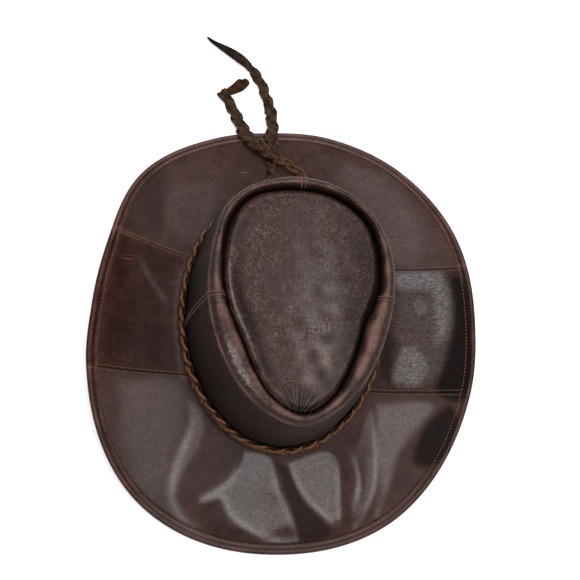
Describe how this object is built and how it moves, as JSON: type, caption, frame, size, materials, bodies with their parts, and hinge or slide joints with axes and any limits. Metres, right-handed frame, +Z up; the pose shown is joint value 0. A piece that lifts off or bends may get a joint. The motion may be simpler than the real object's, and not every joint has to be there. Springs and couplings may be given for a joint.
{
  "type": "leather bush hat",
  "caption": "Wide-brimmed leather hat with a teardrop crown, stitched brim panels and a plaited leather band whose free ends trail behind.",
  "frame": {"origin": "on the surface that the hat rests on, under the middle of its outline without the band's free ends", "axes": "+Z up, front of the hat towards -Y, +X to the hat's left as it is worn"},
  "size_m": [0.323, 0.4543, 0.1162],
  "materials": {
    "brim_leather": "worn glossy dark brown leather",
    "crown_leather": "worn glossy dark brown leather, lighter on the folds",
    "tip_leather": "fine-grained greyish brown leather",
    "band_suede": "tan flesh side of leather, matt",
    "tail_leather": "dark plaited leather with tan flesh edges, matt"
  },
  "bodies": {
    "root": {"brim_panel_right": "brim_leather", "brim_panel_back": "brim_leather", "brim_panel_left": "brim_leather", "brim_panel_front": "brim_leather", "crown_side_back_right": "crown_leather", "crown_side_back_left": "crown_leather", "crown_side_front": "crown_leather", "crown_tip": "tip_leather", "braided_band": "band_suede", "tail_long": "tail_leather", "tail_short": "tail_leather", "tail_short_end": "band_suede"}
  },
  "joints": []
}
